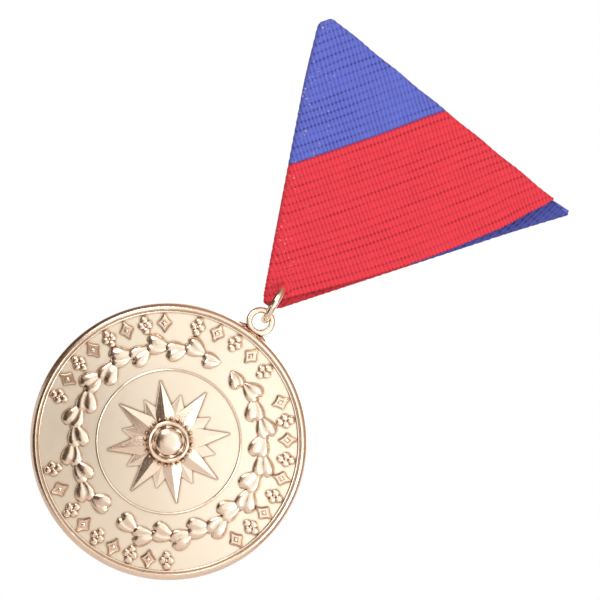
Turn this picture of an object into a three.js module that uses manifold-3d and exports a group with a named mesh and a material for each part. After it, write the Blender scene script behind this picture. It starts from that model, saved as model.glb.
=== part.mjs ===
// A struck medal hung by a split ring from a folded triangular ribbon, with a brooch pin
// sewn to the ribbon's back. Millimetres, +Z up. The front faces -Y. The origin lies on the
// closed needle's axis, straight above the medal's centre.
import * as THREE from 'three';
import { mergeVertices } from 'three/addons/utils/BufferGeometryUtils.js';
import Module from 'manifold-3d';

const wasm = await Module();
wasm.setup();

// Medal disc
const discRadius = 20;
const discThickness = 2.8; // over both rims
const rimWidth = 1.2;
const rimFlat = 0.5; // the level land on top of the rim
const fieldDepth = 0.45; // from the rim's land down to the field, on each side
const edgeRound = 0.55;
const reliefHeight = 0.36; // how far the struck relief stands out of the field
const reliefRoot = 0.2; // how far it reaches into the field

// Laurel wreath: two branches from the foot to the top
const wreathRadius = 13.7;
const wreathStagger = 0.4;
const leavesPerBranch = 15;
const leafLength = 2.6;
const leafWidth = 2.1;
const wreathTopGap = 10; // degrees from the vertical to each branch's end
const wreathFootGap = 12;

// Row of raised studs between the wreath and the rim
const studRadius = 17.2;
const studLength = 2.4;
const studWidth = 1.5;
const studPitch = 9.5; // degrees
const studGroups = [[-16, 6], [47, 3], [83, 5], [130, 9], [237, 2], [262, 7]]; // start, count

// Star in the middle of the field: long rays over short ones
const starPoints = 8;
const longReach = 9;
const longNotch = 4; // out to the notches between the long rays
const shortReach = 7;
const shortNotch = 4.2;

// Suspension: eyelet on the disc's edge, split ring through it and through the ribbon
const eyeletRadius = 2.1;
const eyeletHoleRadius = 1.2;
const eyeletThickness = 1.2;
const eyeletSink = 0.2; // how far the eyelet is let into the disc's edge
const seatGap = 0.06;
const ringWire = 1.1;
const ringRadius = 2.75; // to the middle of the wire
const ringSplit = 0.15;
const hangGap = 0.15; // between the ring's wire and what it carries or hangs from
const ribbonHoleGap = 0.22;

// Folded ribbon
const ribbonDrop = 37.5; // tip to top edge
const ribbonHoleAboveTip = 3.5;
const plyThickness = 0.36;
const tipX = -0.55;
const tipWidth = 2;
const leftLean = 26.7; // degrees from the vertical
const rightLean = 34.3;
const selvageInsetTip = 1.1; // front selvage, inside the right-hand fold
const selvageInsetMid = 0.1;
const selvageInsetTop = 2.5;
const cornerRise = 1.1; // the blunt top-left corner stands above the top fold
const foldBand = 0.4;
const hemDepth = 8;
const tipPliesTop = 4.5; // height above the tip to which the plies lie pressed together
const spreadTop = 7; // height where they lie at their full distance

// Stiffener card inside the triangle
const cardThickness = 0.4;
const cardGap = 0.3;
const cardFootHeight = 7.6; // above the ribbon's tip
const cardRightInset = 1.4;

// Brooch bar and its pin
const pinBelowTop = 4.9; // needle axis to the ribbon's top edge
const barLength = 31;
const barHeight = 4.4;
const barThickness = 0.8;
const needleStandoff = 2.4; // needle axis to the bar's rear face
const needleRadius = 0.45;
const needleLength = 28.6; // hinge to point
const needlePoint = 3.2;
const hingeX = -12.6;
const catchX = 12.4;
const baseThickness = 0.5;
const eyeRadius = 1.1;
const eyeThickness = 0.9;
const earThickness = 0.5;
const earGap = 0.15; // each side of the needle's eye
const earWidth = 2.8;
const rivetRadius = 0.4;
const rivetGap = 0.1;
const rivetHeadRadius = 0.8;
const rivetHeadHeight = 0.3;
const cheekThickness = 0.7;
const cheekSpacing = 2.2; // between the catch's two cheeks
const cheekRadius = 1.9;
const barrelGap = 0.12;
const barrelBore = 0.72;
const barrelJournal = 1.08;
const barrelCollar = 1.6;
const barrelOverhang = 0.5;
const slotGap = 0.18; // needle to slot wall
const tabLength = 1.7;
const tabWidth = 1.2;
const tabThickness = 0.6;
const tabAngle = 80; // degrees, from straight back towards the top

// Thread
const threadThickness = 0.3;
const threadWidth = 0.45;
const threadGap = 0.1;
const barStitchSpan = 2.4;
const barStitchXs = [-8.4, -3, 3, 8.4];
const hemStitchSpan = 2;
const hemStitchBelowTop = 1.5;
const hemStitchXs = [-14, -6, 2, 10, 18];

// Depths along Y, from the bar forward
const barRearY = -needleStandoff;
const barFrontY = barRearY - barThickness;
const rearPliesY = barFrontY - 2 * plyThickness; // front face of the two rear plies
const hemFrontY = rearPliesY - plyThickness;
const cardFrontY = hemFrontY - cardThickness;
const ribbonFrontY = cardFrontY - plyThickness;
const hangY = ribbonFrontY + 1.5 * plyThickness; // middle of the pressed plies at the tip
const pressedShift = hemFrontY - rearPliesY - cardThickness; // rear plies, at the tip

// Heights along Z, from the needle down
const topZ = pinBelowTop;
const tipZ = topZ - ribbonDrop;
const ringZ = tipZ + ribbonHoleAboveTip - ringRadius;
const eyeletZ = ringZ - ringRadius + ringWire / 2 + hangGap - eyeletHoleRadius;
const discZ = eyeletZ - eyeletRadius + eyeletSink - discRadius;

const radians = THREE.MathUtils.degToRad;

// Solids: three.js geometry in, manifold booleans, three.js geometry out

function toSolid(geometry) {
  const bare = geometry.clone();
  bare.deleteAttribute('normal');
  bare.deleteAttribute('uv');
  const merged = mergeVertices(bare, 1e-4);
  const vertProperties = new Float32Array(merged.attributes.position.array);
  const triVerts = new Uint32Array(merged.index.array);
  return new wasm.Manifold(new wasm.Mesh({ numProp: 3, vertProperties, triVerts }));
}

function toGeometry(solid) {
  const mesh = solid.getMesh();
  const geometry = new THREE.BufferGeometry();
  geometry.setAttribute('position', new THREE.BufferAttribute(mesh.vertProperties, 3));
  geometry.setIndex(new THREE.BufferAttribute(mesh.triVerts, 1));
  return geometry;
}

function polygon(points) {
  return new THREE.Shape(points.map(([x, y]) => new THREE.Vector2(x, y)));
}

// An XZ outline made into a plate from yFront back to yBack
function plate(outline, yFront, yBack, curveSegments = 12) {
  const options = { depth: yBack - yFront, bevelEnabled: false, curveSegments };
  const geometry = new THREE.ExtrudeGeometry(outline, options);
  return geometry.rotateX(Math.PI / 2).translate(0, yBack, 0);
}

// A YZ outline made into a bar from xLow to xHigh
function barAlongX(outline, xLow, xHigh) {
  const options = { depth: xHigh - xLow, bevelEnabled: false, curveSegments: 12 };
  const geometry = new THREE.ExtrudeGeometry(outline, options);
  const turn = new THREE.Matrix4().set(0, 0, 1, 0, 1, 0, 0, 0, 0, 1, 0, 0, 0, 0, 0, 1);
  return geometry.applyMatrix4(turn).translate(xLow, 0, 0);
}

function box(x, y, z) {
  const geometry = new THREE.BoxGeometry(x[1] - x[0], y[1] - y[0], z[1] - z[0]);
  return geometry.translate((x[0] + x[1]) / 2, (y[0] + y[1]) / 2, (z[0] + z[1]) / 2);
}

// A turned piece: [radius, height] pairs revolved about Y, on or off the axis
function turned(profile, segments) {
  return new THREE.LatheGeometry(profile.map(([r, y]) => new THREE.Vector2(r, y)), segments);
}

function rod(radius, low, high, segments = 16) {
  return turned([[0, low], [radius, low], [radius, high], [0, high]], segments);
}

function roundedRectangle(width, height, radius) {
  const shape = new THREE.Shape();
  const halfX = width / 2;
  const halfY = height / 2;
  shape.moveTo(-halfX + radius, -halfY);
  shape.lineTo(halfX - radius, -halfY);
  shape.absarc(halfX - radius, -halfY + radius, radius, -Math.PI / 2, 0);
  shape.lineTo(halfX, halfY - radius);
  shape.absarc(halfX - radius, halfY - radius, radius, 0, Math.PI / 2);
  shape.lineTo(-halfX + radius, halfY);
  shape.absarc(-halfX + radius, halfY - radius, radius, Math.PI / 2, Math.PI);
  shape.lineTo(-halfX, -halfY + radius);
  shape.absarc(-halfX + radius, -halfY + radius, radius, Math.PI, Math.PI * 1.5);
  return shape;
}

// Medal disc, about its own centre

const fieldY = discThickness / 2 - fieldDepth;

// A flat outline raised out of the front field
function relief(outline, curveSegments = 4) {
  return toSolid(plate(outline, -fieldY - reliefHeight, -fieldY + reliefRoot, curveSegments));
}

function leafOutline(angle, radius, turn) {
  const half = leafLength / 2;
  const leaf = new THREE.Shape();
  leaf.moveTo(-half, 0);
  leaf.quadraticCurveTo(-half * 0.6, -leafWidth * 0.95, half, 0);
  leaf.quadraticCurveTo(-half * 0.6, leafWidth * 0.95, -half, 0);
  const points = leaf.getPoints(4).slice(0, -1);
  const centre = new THREE.Vector2(Math.cos(angle), Math.sin(angle)).multiplyScalar(radius);
  const origin = new THREE.Vector2();
  return new THREE.Shape(points.map((p) => p.rotateAround(origin, angle + turn).add(centre)));
}

function wreath() {
  const leaves = [];
  const sweep = 180 - wreathTopGap - wreathFootGap;
  for (let i = 0; i < leavesPerBranch; i += 1) {
    const fromTop = wreathTopGap + (sweep * i) / (leavesPerBranch - 1);
    const radius = wreathRadius + (i % 2 ? wreathStagger : -wreathStagger);
    leaves.push(relief(leafOutline(radians(90 + fromTop), radius, -Math.PI / 2)));
    leaves.push(relief(leafOutline(radians(90 - fromTop), radius, Math.PI / 2)));
  }
  return leaves;
}

function studs() {
  const solids = [];
  for (const [start, count] of studGroups) {
    for (let i = 0; i < count; i += 1) {
      const angle = radians(start + i * studPitch);
      const half = studLength / 2;
      const corners = [[half, 0], [0, studWidth / 2], [-half, 0], [0, -studWidth / 2]];
      const outline = corners.map(([r, s]) => [
        (studRadius + r) * Math.cos(angle) - s * Math.sin(angle),
        (studRadius + r) * Math.sin(angle) + s * Math.cos(angle),
      ]);
      solids.push(relief(polygon(outline)));
    }
  }
  return solids;
}

// A straight-sided star, the first point at the given angle
function starOutline(reach, notch, start) {
  return Array.from({ length: starPoints * 2 }, (_, i) => {
    const angle = start + (Math.PI * i) / starPoints;
    const radius = i % 2 ? notch : reach;
    return [radius * Math.cos(angle), radius * Math.sin(angle)];
  });
}

function star() {
  const long = starOutline(longReach, longNotch, 0);
  const short = starOutline(shortReach, shortNotch, Math.PI / starPoints);
  return [long, short].map((outline) => relief(polygon(outline)));
}

function medalDisc() {
  const half = discThickness / 2;
  const land = discRadius - edgeRound;
  const wall = discRadius - rimWidth;
  const front = [[0, fieldY], [wall, fieldY], [land - rimFlat, half], [land, half]];
  const round = [[discRadius - 0.16, half - 0.16], [discRadius, half - edgeRound]];
  const outer = [...front, ...round];
  const mirrored = outer.map(([r, y]) => [r, -y]);
  let disc = toSolid(turned([...mirrored, ...[...outer].reverse()], 96));
  const seatHalf = eyeletThickness / 2 + seatGap;
  const seat = rod(eyeletRadius + seatGap, -seatHalf, seatHalf, 32);
  seat.translate(0, 0, discRadius + eyeletRadius - eyeletSink);
  const raised = [...wreath(), ...studs(), ...star()];
  disc = wasm.Manifold.union([disc, ...raised]);
  return toGeometry(disc.subtract(toSolid(seat)));
}

// Suspension

function suspensionEyelet() {
  const half = eyeletThickness / 2;
  const body = toSolid(rod(eyeletRadius, -half, half, 32));
  return toGeometry(body.subtract(toSolid(rod(eyeletHoleRadius, -half - 1, half + 1, 32))));
}

// The ring stands in the YZ plane, its split at the back
class RingPath extends THREE.Curve {
  getPoint(t, target = new THREE.Vector3()) {
    const open = ringSplit / ringRadius;
    const angle = open / 2 + t * (2 * Math.PI - open);
    return target.set(0, ringRadius * Math.cos(angle), ringRadius * Math.sin(angle));
  }
}

function jumpRing() {
  const section = new THREE.Shape();
  section.absarc(0, 0, ringWire / 2, 0, 2 * Math.PI);
  const options = { steps: 44, curveSegments: 12, extrudePath: new RingPath() };
  return new THREE.ExtrudeGeometry(section, options);
}

// Ribbon: a front ply, two rear plies and a hem, joined along the folds.
// Heights in its outlines are measured from the tip.

const leftX = (height) => tipX - tipWidth / 2 - height * Math.tan(radians(leftLean));
const rightX = (height) => tipX + tipWidth / 2 + height * Math.tan(radians(rightLean));
const atHeight = (points) => polygon(points.map(([x, height]) => [x, tipZ + height]));

function frontOutline() {
  const low = [rightX(0) - selvageInsetTip, 0];
  const topHeight = ribbonDrop - 0.3;
  const high = [rightX(topHeight) - selvageInsetTop, topHeight];
  const middle = [rightX(topHeight / 2) - selvageInsetMid, topHeight / 2];
  const bow = middle.map((value, i) => 2 * value - (low[i] + high[i]) / 2);
  const selvage = new THREE.QuadraticBezierCurve(
    new THREE.Vector2(...low), new THREE.Vector2(...bow), new THREE.Vector2(...high));
  const corner = leftX(ribbonDrop - 1.3);
  return atHeight([
    [leftX(0), 0],
    ...selvage.getPoints(10).map((p) => [p.x, p.y]),
    [corner + 7.5, ribbonDrop],
    [corner + 2.9, ribbonDrop + cornerRise - 0.2],
    [corner + 2, ribbonDrop + cornerRise],
    [corner + 0.9, ribbonDrop + 0.2],
    [corner, ribbonDrop - 1.3],
  ]);
}

function rearOutline() {
  const top = ribbonDrop - 0.5;
  return atHeight([
    [leftX(0), 0], [rightX(0), 0], [rightX(top - 0.9), top - 0.9],
    [rightX(top - 0.9) + 0.1, top - 0.3], [rightX(top) - 0.6, top], [leftX(top), top],
  ]);
}

// YZ section of the plies behind the front one: pressed together at the tip, then spread
function pliesSection(frontY, frontMoves) {
  const shift = pressedShift;
  const low = tipZ + tipPliesTop;
  const high = tipZ + spreadTop;
  const above = topZ + cornerRise + 1;
  const pressedFront = frontMoves ? frontY + shift : frontY;
  return polygon([
    [pressedFront, tipZ - 1], [barFrontY + shift, tipZ - 1], [barFrontY + shift, low],
    [barFrontY, high], [barFrontY, above], [frontY, above], [frontY, high],
    [pressedFront, low],
  ]);
}

function ribbonSolid() {
  const reach = ribbonDrop * 2;
  const front = toSolid(plate(frontOutline(), ribbonFrontY, cardFrontY));
  const rear = toSolid(plate(rearOutline(), ribbonFrontY, barFrontY))
    .intersect(toSolid(barAlongX(pliesSection(rearPliesY, true), -reach, reach)));
  const top = ribbonDrop - 0.5;
  const leftBand = atHeight([
    [leftX(0), 0], [leftX(0) + foldBand, 0], [leftX(top) + foldBand, top], [leftX(top), top],
  ]);
  const leftFold = toSolid(plate(leftBand, ribbonFrontY, barFrontY))
    .intersect(toSolid(barAlongX(pliesSection(ribbonFrontY, false), -reach, reach)));
  const hemFoot = ribbonDrop - hemDepth;
  const hemEnd = rightX(top) - selvageInsetTop - 1;
  const hem = toSolid(plate(atHeight([
    [leftX(hemFoot) + foldBand / 2, hemFoot], [hemEnd - 5, hemFoot], [hemEnd, top],
    [leftX(top) + foldBand / 2, top],
  ]), hemFrontY, rearPliesY));
  const topBand = toSolid(plate(atHeight([
    [leftX(top), top - foldBand], [hemEnd, top - foldBand], [hemEnd, top], [leftX(top), top],
  ]), ribbonFrontY, rearPliesY));
  return wasm.Manifold.union([front, rear, leftFold, hem, topBand]);
}

function ribbon() {
  const holeRadius = ringWire / 2 + ribbonHoleGap;
  const hole = new THREE.TorusGeometry(ringRadius, holeRadius, 16, 48).rotateY(Math.PI / 2);
  let cloth = ribbonSolid().subtract(toSolid(hole.translate(0, hangY, ringZ)));
  for (const x of barStitchXs) cloth = cloth.subtract(toSolid(barStitch(x, threadGap)));
  for (const x of hemStitchXs) cloth = cloth.subtract(toSolid(hemStitch(x, threadGap)));
  return toGeometry(cloth);
}

function ribbonStiffener() {
  const top = ribbonDrop - 0.5 - foldBand - cardGap;
  const left = foldBand + cardGap;
  const right = selvageInsetTop + cardRightInset;
  return plate(atHeight([
    [leftX(cardFootHeight) + left, cardFootHeight],
    [rightX(cardFootHeight) - cardRightInset, cardFootHeight],
    [rightX(top * 0.6) - cardRightInset, top * 0.6],
    [rightX(top) - right, top],
    [leftX(top) + left, top],
  ]), cardFrontY, hemFrontY);
}

// Thread loops: closed frames seen from above, each round a few plies

function threadLoop(x, z, span, rearY, frontY, grow) {
  const outline = (inset) => [
    [x - span / 2 + inset, frontY + inset], [x + span / 2 - inset, frontY + inset],
    [x + span / 2 - inset, rearY - inset], [x - span / 2 + inset, rearY - inset],
  ];
  const frame = polygon(outline(-grow));
  frame.holes.push(polygon(outline(threadThickness + grow).reverse()));
  const depth = threadWidth + 2 * grow;
  const loop = new THREE.ExtrudeGeometry(frame, { depth, bevelEnabled: false });
  return loop.translate(0, 0, z - depth / 2);
}

const threadFrontY = hemFrontY + 0.08;

function barStitch(x, grow = 0) {
  const rearY = barRearY + 0.05 + threadThickness;
  return threadLoop(x, 0, barStitchSpan, rearY, threadFrontY, grow);
}

function hemStitch(x, grow = 0) {
  const rearY = barFrontY + 0.05 + threadThickness;
  return threadLoop(x, topZ - hemStitchBelowTop, hemStitchSpan, rearY, threadFrontY, grow);
}

// Brooch

function broochBar() {
  const outline = roundedRectangle(barLength, barHeight, barHeight / 2 - 0.1);
  const holeRadius = Math.hypot(threadThickness, threadWidth) / 2 + threadGap;
  const reach = (barStitchSpan - threadThickness) / 2;
  for (const x of barStitchXs.flatMap((centre) => [centre - reach, centre + reach])) {
    const hole = new THREE.Path();
    hole.absarc(x, 0, holeRadius, 0, 2 * Math.PI, true);
    outline.holes.push(hole);
  }
  return plate(outline, barFrontY, barRearY, 6);
}

const baseRearY = barRearY + baseThickness;
const earInnerZ = eyeThickness / 2 + earGap;
const earOuterZ = earInnerZ + earThickness;

function hingeBracket() {
  const noseY = eyeRadius - 0.1;
  const channel = toSolid(barAlongX(polygon([
    [barRearY, -earOuterZ], [noseY, -earOuterZ], [noseY, -earInnerZ], [baseRearY, -earInnerZ],
    [baseRearY, earInnerZ], [noseY, earInnerZ], [noseY, earOuterZ], [barRearY, earOuterZ],
  ]), hingeX - earWidth / 2, hingeX + earWidth / 2));
  const round = new THREE.Shape();
  round.moveTo(hingeX - earWidth / 2, barRearY - 1);
  round.lineTo(hingeX + earWidth / 2, barRearY - 1);
  round.lineTo(hingeX + earWidth / 2, 0);
  round.absarc(hingeX, 0, earWidth / 2, 0, Math.PI);
  const tall = { depth: 4 * earOuterZ, bevelEnabled: false, curveSegments: 12 };
  const trim = new THREE.ExtrudeGeometry(round, tall).translate(0, 0, -2 * earOuterZ);
  const bore = rod(rivetRadius + rivetGap, -2 * earOuterZ, 2 * earOuterZ).rotateX(Math.PI / 2);
  const ears = channel.intersect(toSolid(trim));
  return toGeometry(ears.subtract(toSolid(bore.translate(hingeX, 0, 0))));
}

// Headed rivet through both ears, about its own centre and along Z
function hingeRivet() {
  const end = earOuterZ + rivetHeadHeight;
  return turned([
    [0, -end], [rivetHeadRadius, -end], [rivetHeadRadius, -earOuterZ],
    [rivetRadius, -earOuterZ], [rivetRadius, earOuterZ], [rivetHeadRadius, earOuterZ],
    [rivetHeadRadius, end], [0, end],
  ], 16).rotateX(Math.PI / 2);
}

// Needle along +X from its flattened eye at the hinge
function pinNeedle() {
  const shank = turned([
    [0, 0], [needleRadius, 0], [needleRadius, needleLength - needlePoint],
    [needleRadius * 0.5, needleLength - needlePoint * 0.35], [0, needleLength],
  ], 12).rotateZ(-Math.PI / 2);
  const eye = rod(eyeRadius, -eyeThickness / 2, eyeThickness / 2, 20).rotateX(Math.PI / 2);
  const bore = rod(rivetRadius + rivetGap, -eyeThickness, eyeThickness).rotateX(Math.PI / 2);
  return toGeometry(toSolid(shank).add(toSolid(eye)).subtract(toSolid(bore)));
}

const cheekOuterX = cheekSpacing / 2 + cheekThickness;
const boreRadius = barrelJournal + barrelGap;
const slotHalf = needleRadius + slotGap;

// Two cheeks on a base, each bored for the barrel and slotted straight back
function catchBody() {
  const cheek = new THREE.Shape();
  cheek.moveTo(barRearY, -cheekRadius);
  cheek.lineTo(0, -cheekRadius);
  cheek.absarc(0, 0, cheekRadius, -Math.PI / 2, Math.PI / 2);
  cheek.lineTo(barRearY, cheekRadius);
  const block = toSolid(barAlongX(cheek, -cheekOuterX, cheekOuterX));
  const half = cheekSpacing / 2;
  const room = toSolid(box([-half, half], [baseRearY, 9], [-9, 9]));
  const bore = toSolid(rod(boreRadius, -9, 9, 24).rotateZ(-Math.PI / 2));
  const slot = toSolid(box([-9, 9], [0, 9], [-slotHalf, slotHalf]));
  return toGeometry(block.subtract(room).subtract(bore).subtract(slot));
}

// Slotted barrel with a collar between the cheeks and a thumb tab on the collar
function lockBarrel() {
  const end = cheekOuterX + barrelOverhang;
  const collarEnd = cheekSpacing / 2 - barrelGap;
  const sleeve = toSolid(turned([
    [barrelBore, -end], [barrelJournal, -end], [barrelJournal, -collarEnd],
    [barrelCollar, -collarEnd], [barrelCollar, collarEnd], [barrelJournal, collarEnd],
    [barrelJournal, end], [barrelBore, end], [barrelBore, -end],
  ], 24).rotateZ(-Math.PI / 2));
  const half = tabWidth / 2;
  const tabReach = [barrelCollar - 0.3, barrelCollar + tabLength];
  const tab = box([-half, half], tabReach, [-tabThickness / 2, tabThickness / 2]);
  tab.rotateX(radians(tabAngle));
  const slot = box([-9, 9], [0, barrelCollar + 0.1], [-slotHalf, slotHalf]);
  return toGeometry(sleeve.add(toSolid(tab)).subtract(toSolid(slot)));
}

// Finishes and assembly

const gilt = { color: 0xd8b48a, roughness: 0.35, metalness: 1 };
const steel = { color: 0xb9b7b0, roughness: 0.3, metalness: 1 };
const thread = { color: 0x7a1f28, roughness: 0.9, metalness: 0 };

function piece(name, geometry, finish, position = [0, 0, 0]) {
  const mesh = new THREE.Mesh(geometry, new THREE.MeshStandardMaterial(finish));
  mesh.name = name;
  mesh.position.set(...position);
  return mesh;
}

const hanging = new THREE.Group();
hanging.position.set(0, hangY, 0);
hanging.add(
  piece('medal_disc', medalDisc(), gilt, [0, 0, discZ]),
  piece('suspension_eyelet', suspensionEyelet(), gilt, [0, 0, eyeletZ]),
  piece('jump_ring', jumpRing(), gilt, [0, 0, ringZ]),
);

const cloth = new THREE.Group();
cloth.add(
  piece('ribbon', ribbon(), { color: 0xd8323f, roughness: 0.85, metalness: 0 }),
  piece('ribbon_stiffener', ribbonStiffener(), { color: 0xd9d2c0, roughness: 0.9, metalness: 0 }),
);
barStitchXs.forEach((x, i) => cloth.add(piece(`bar_stitch_${i + 1}`, barStitch(x), thread)));
hemStitchXs.forEach((x, i) => cloth.add(piece(`hem_stitch_${i + 1}`, hemStitch(x), thread)));

const brooch = new THREE.Group();
brooch.add(
  piece('brooch_bar', broochBar(), steel),
  piece('hinge_bracket', hingeBracket(), steel),
  piece('hinge_rivet', hingeRivet(), steel, [hingeX, 0, 0]),
  piece('pin_needle', pinNeedle(), steel, [hingeX, 0, 0]),
  piece('catch_body', catchBody(), steel, [catchX, 0, 0]),
  piece('lock_barrel', lockBarrel(), steel, [catchX, 0, 0]),
);

const medal = new THREE.Group();
medal.add(hanging, cloth, brooch);

export default medal;
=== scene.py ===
import math

import bmesh
import bpy
from mathutils import Matrix, Vector, noise


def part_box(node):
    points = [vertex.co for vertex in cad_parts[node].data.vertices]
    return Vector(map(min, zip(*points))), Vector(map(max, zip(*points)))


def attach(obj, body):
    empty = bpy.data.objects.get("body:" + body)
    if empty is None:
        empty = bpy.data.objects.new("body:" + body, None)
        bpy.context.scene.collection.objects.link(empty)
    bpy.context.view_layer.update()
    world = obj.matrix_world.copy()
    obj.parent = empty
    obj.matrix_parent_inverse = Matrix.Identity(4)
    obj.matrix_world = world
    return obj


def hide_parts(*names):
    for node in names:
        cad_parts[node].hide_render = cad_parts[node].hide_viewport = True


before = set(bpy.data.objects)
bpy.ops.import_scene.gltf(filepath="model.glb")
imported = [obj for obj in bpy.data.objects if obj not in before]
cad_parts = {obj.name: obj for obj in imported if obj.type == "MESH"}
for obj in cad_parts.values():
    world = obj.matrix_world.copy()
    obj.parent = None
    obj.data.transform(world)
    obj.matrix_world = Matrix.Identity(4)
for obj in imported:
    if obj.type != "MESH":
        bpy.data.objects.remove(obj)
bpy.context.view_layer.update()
mm = 0.001


def middle(node):
    low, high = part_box(node)
    return (low + high) / 2 / mm


discMiddle = middle("medal_disc")
discRadius = (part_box("medal_disc")[1].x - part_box("medal_disc")[0].x) / 2 / mm
ringMiddle = middle("jump_ring")
eyeletMiddle = middle("suspension_eyelet")
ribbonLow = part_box("ribbon")[0] / mm
barLow, barHigh = (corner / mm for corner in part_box("brooch_bar"))
print("frame loaded")


def addObject(name, data):
    made = bpy.data.objects.new(name, data)
    bpy.context.scene.collection.objects.link(made)
    return made


# Camera: square on to the medal, rolled so that it hangs over to the right

cameraLook = {
    "aim": Vector((2.6, 0, 27.78)),  # mm from the disc's middle to the middle of the view
    "field": 86.76,  # mm across the view
    "distance": 620,  # mm
    "roll": 37.5,  # degrees
    "sensor": 36,
}


def placeCamera():
    look = cameraLook
    turn = math.radians(look["roll"])
    right = Vector((math.cos(turn), 0, math.sin(turn)))
    up = Vector((-math.sin(turn), 0, math.cos(turn)))
    back = Vector((0, -1, 0))
    spot = discMiddle + look["aim"] + back * look["distance"]
    data = bpy.data.cameras.new("camera")
    data.sensor_width = look["sensor"]
    data.lens = look["sensor"] * look["distance"] / look["field"]
    data.clip_start = 0.01
    camera = addObject("camera", data)
    rotation = Matrix((right, up, back)).transposed().to_4x4()
    camera.matrix_world = Matrix.Translation(spot * mm) @ rotation
    bpy.context.scene.camera = camera


placeCamera()


# Node helpers for the materials

class Nodes:
    def __init__(self, tree):
        self.tree = tree

    def add(self, kind, **values):
        node = self.tree.nodes.new("ShaderNode" + kind)
        for name, value in values.items():
            setattr(node, name, value)
        return node

    def join(self, source, target):
        self.tree.links.new(source, target)

    def feed(self, value, target):
        if isinstance(value, bpy.types.NodeSocket):
            self.join(value, target)
        else:
            target.default_value = value

    def onObject(self):
        return self.add("TexCoord").outputs["Object"]

    def math(self, operation, first, second=0.0, third=0.0):
        node = self.add("Math", operation=operation)
        for value, target in zip((first, second, third), node.inputs):
            self.feed(value, target)
        return node.outputs[0]

    def times(self, first, second):
        return self.math("MULTIPLY", first, second)

    def timesPlus(self, first, second, third):
        return self.math("MULTIPLY_ADD", first, second, third)

    def mix(self, factor, first, second):
        node = self.add("Mix", data_type="RGBA")
        self.feed(factor, node.inputs["Factor"])
        self.feed(first, node.inputs[6])
        self.feed(second, node.inputs[7])
        return node.outputs[2]

    def spread(self, value, low, high, newLow=0.0, newHigh=1.0):
        node = self.add("MapRange", clamp=True, interpolation_type="SMOOTHSTEP")
        for source, target in zip((value, low, high, newLow, newHigh), node.inputs):
            self.feed(source, target)
        return node.outputs[0]

    def noise(self, place, size, detail=3.0, roughness=0.55):
        node = self.add("TexNoise")
        self.join(place, node.inputs["Vector"])
        node.inputs["Scale"].default_value = 1 / size
        node.inputs["Detail"].default_value = detail
        node.inputs["Roughness"].default_value = roughness
        return node.outputs["Fac"]

    def surface(self, shader, colour, height, strength, distance):
        self.join(colour, shader.inputs["Base Color"])
        node = self.add("Bump")
        self.join(height, node.inputs["Height"])
        node.inputs["Strength"].default_value = strength
        node.inputs["Distance"].default_value = distance
        self.join(node.outputs["Normal"], shader.inputs["Normal"])


def newMaterial(name, colour, roughness, metallic=0.0):
    material = bpy.data.materials.new(name)
    material.use_nodes = True
    shader = material.node_tree.nodes["Principled BSDF"]
    shader.inputs["Base Color"].default_value = (*colour, 1)
    shader.inputs["Roughness"].default_value = roughness
    shader.inputs["Metallic"].default_value = metallic
    return material, Nodes(material.node_tree), shader


# Lights and surroundings

surroundings = {
    "facing": (1.06, 1.05, 1.03, 1),  # seen in the medal's flat faces
    "grazing": (0.10, 0.05, 0.03, 1),  # seen in its steep sides
    "shade": (0.46, 0.25, 0.18, 1),
    "background": (1.0, 1.0, 1.0, 1),
    "leftward": (-0.87, -0.5),  # how much x and z count towards the lower left
    "sideways": 1.35,  # how much sooner it darkens towards the lower left
    "rightLimit": -0.12,  # how far to the upper right this goes on
    "falloff": (0.11, 0.56),
    "grazingReach": (-0.2, 0.8),
    "key": {"place": (45, -135, 105), "size": 80, "power": 0.012},
    "left": {"place": (-300, -300, 200), "size": 200, "power": 0.62},
    "right": {"place": (330, -300, 60), "size": 200, "power": 0.5},
    "back": {"place": (60, 420, 160), "size": 220, "power": 0.5},
    "card": {  # takes light from the lower left
        "place": (-55, -45, -45), "size": 70, "colour": (0.05, 0.03, 0.02),
    },
    "floor": {"size": 600, "drop": 60, "colour": (0.86, 0.85, 0.84)},
}


def buildWorld():
    look = surroundings
    world = bpy.data.worlds.new("studio")
    bpy.context.scene.world = world
    world.use_nodes = True
    world.node_tree.nodes.clear()
    make = Nodes(world.node_tree)
    direction = make.add("TexCoord").outputs["Generated"]
    parts = make.add("SeparateXYZ")
    make.join(direction, parts.inputs[0])
    across, depth, height = parts.outputs
    away = make.math("SUBTRACT", 1.0, make.math("ABSOLUTE", depth))
    toLeft, toFoot = look["leftward"]
    side = make.timesPlus(across, toLeft, make.times(height, toFoot))
    lean = make.math("MAXIMUM", side, look["rightLimit"])
    turn = make.timesPlus(lean, look["sideways"], away)
    shaded = make.spread(turn, *look["falloff"])
    dark = make.mix(make.spread(side, *look["grazingReach"]), look["shade"], look["grazing"])
    colour = make.mix(shaded, look["facing"], dark)
    glow = make.add("Background")
    make.join(colour, glow.inputs["Color"])
    plain = make.add("Background")
    plain.inputs["Color"].default_value = look["background"]
    choose = make.add("MixShader")
    make.join(make.add("LightPath").outputs["Is Camera Ray"], choose.inputs[0])
    make.join(glow.outputs[0], choose.inputs[1])
    make.join(plain.outputs[0], choose.inputs[2])
    output = make.add("OutputWorld")
    make.join(choose.outputs[0], output.inputs["Surface"])


def areaLight(name):
    look = surroundings[name]
    data = bpy.data.lights.new(name, "AREA")
    data.size = look["size"] * mm
    data.energy = look["power"]
    light = addObject(name, data)
    place = (discMiddle + Vector(look["place"])) * mm
    aim = (discMiddle + cameraLook["aim"]) * mm
    light.visible_camera = False
    light.location = place
    light.rotation_euler = (aim - place).to_track_quat("-Z", "Y").to_euler()


def meshFrom(bm, name):
    mesh = bpy.data.meshes.new(name)
    bm.to_mesh(mesh)
    bm.free()
    return mesh


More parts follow.
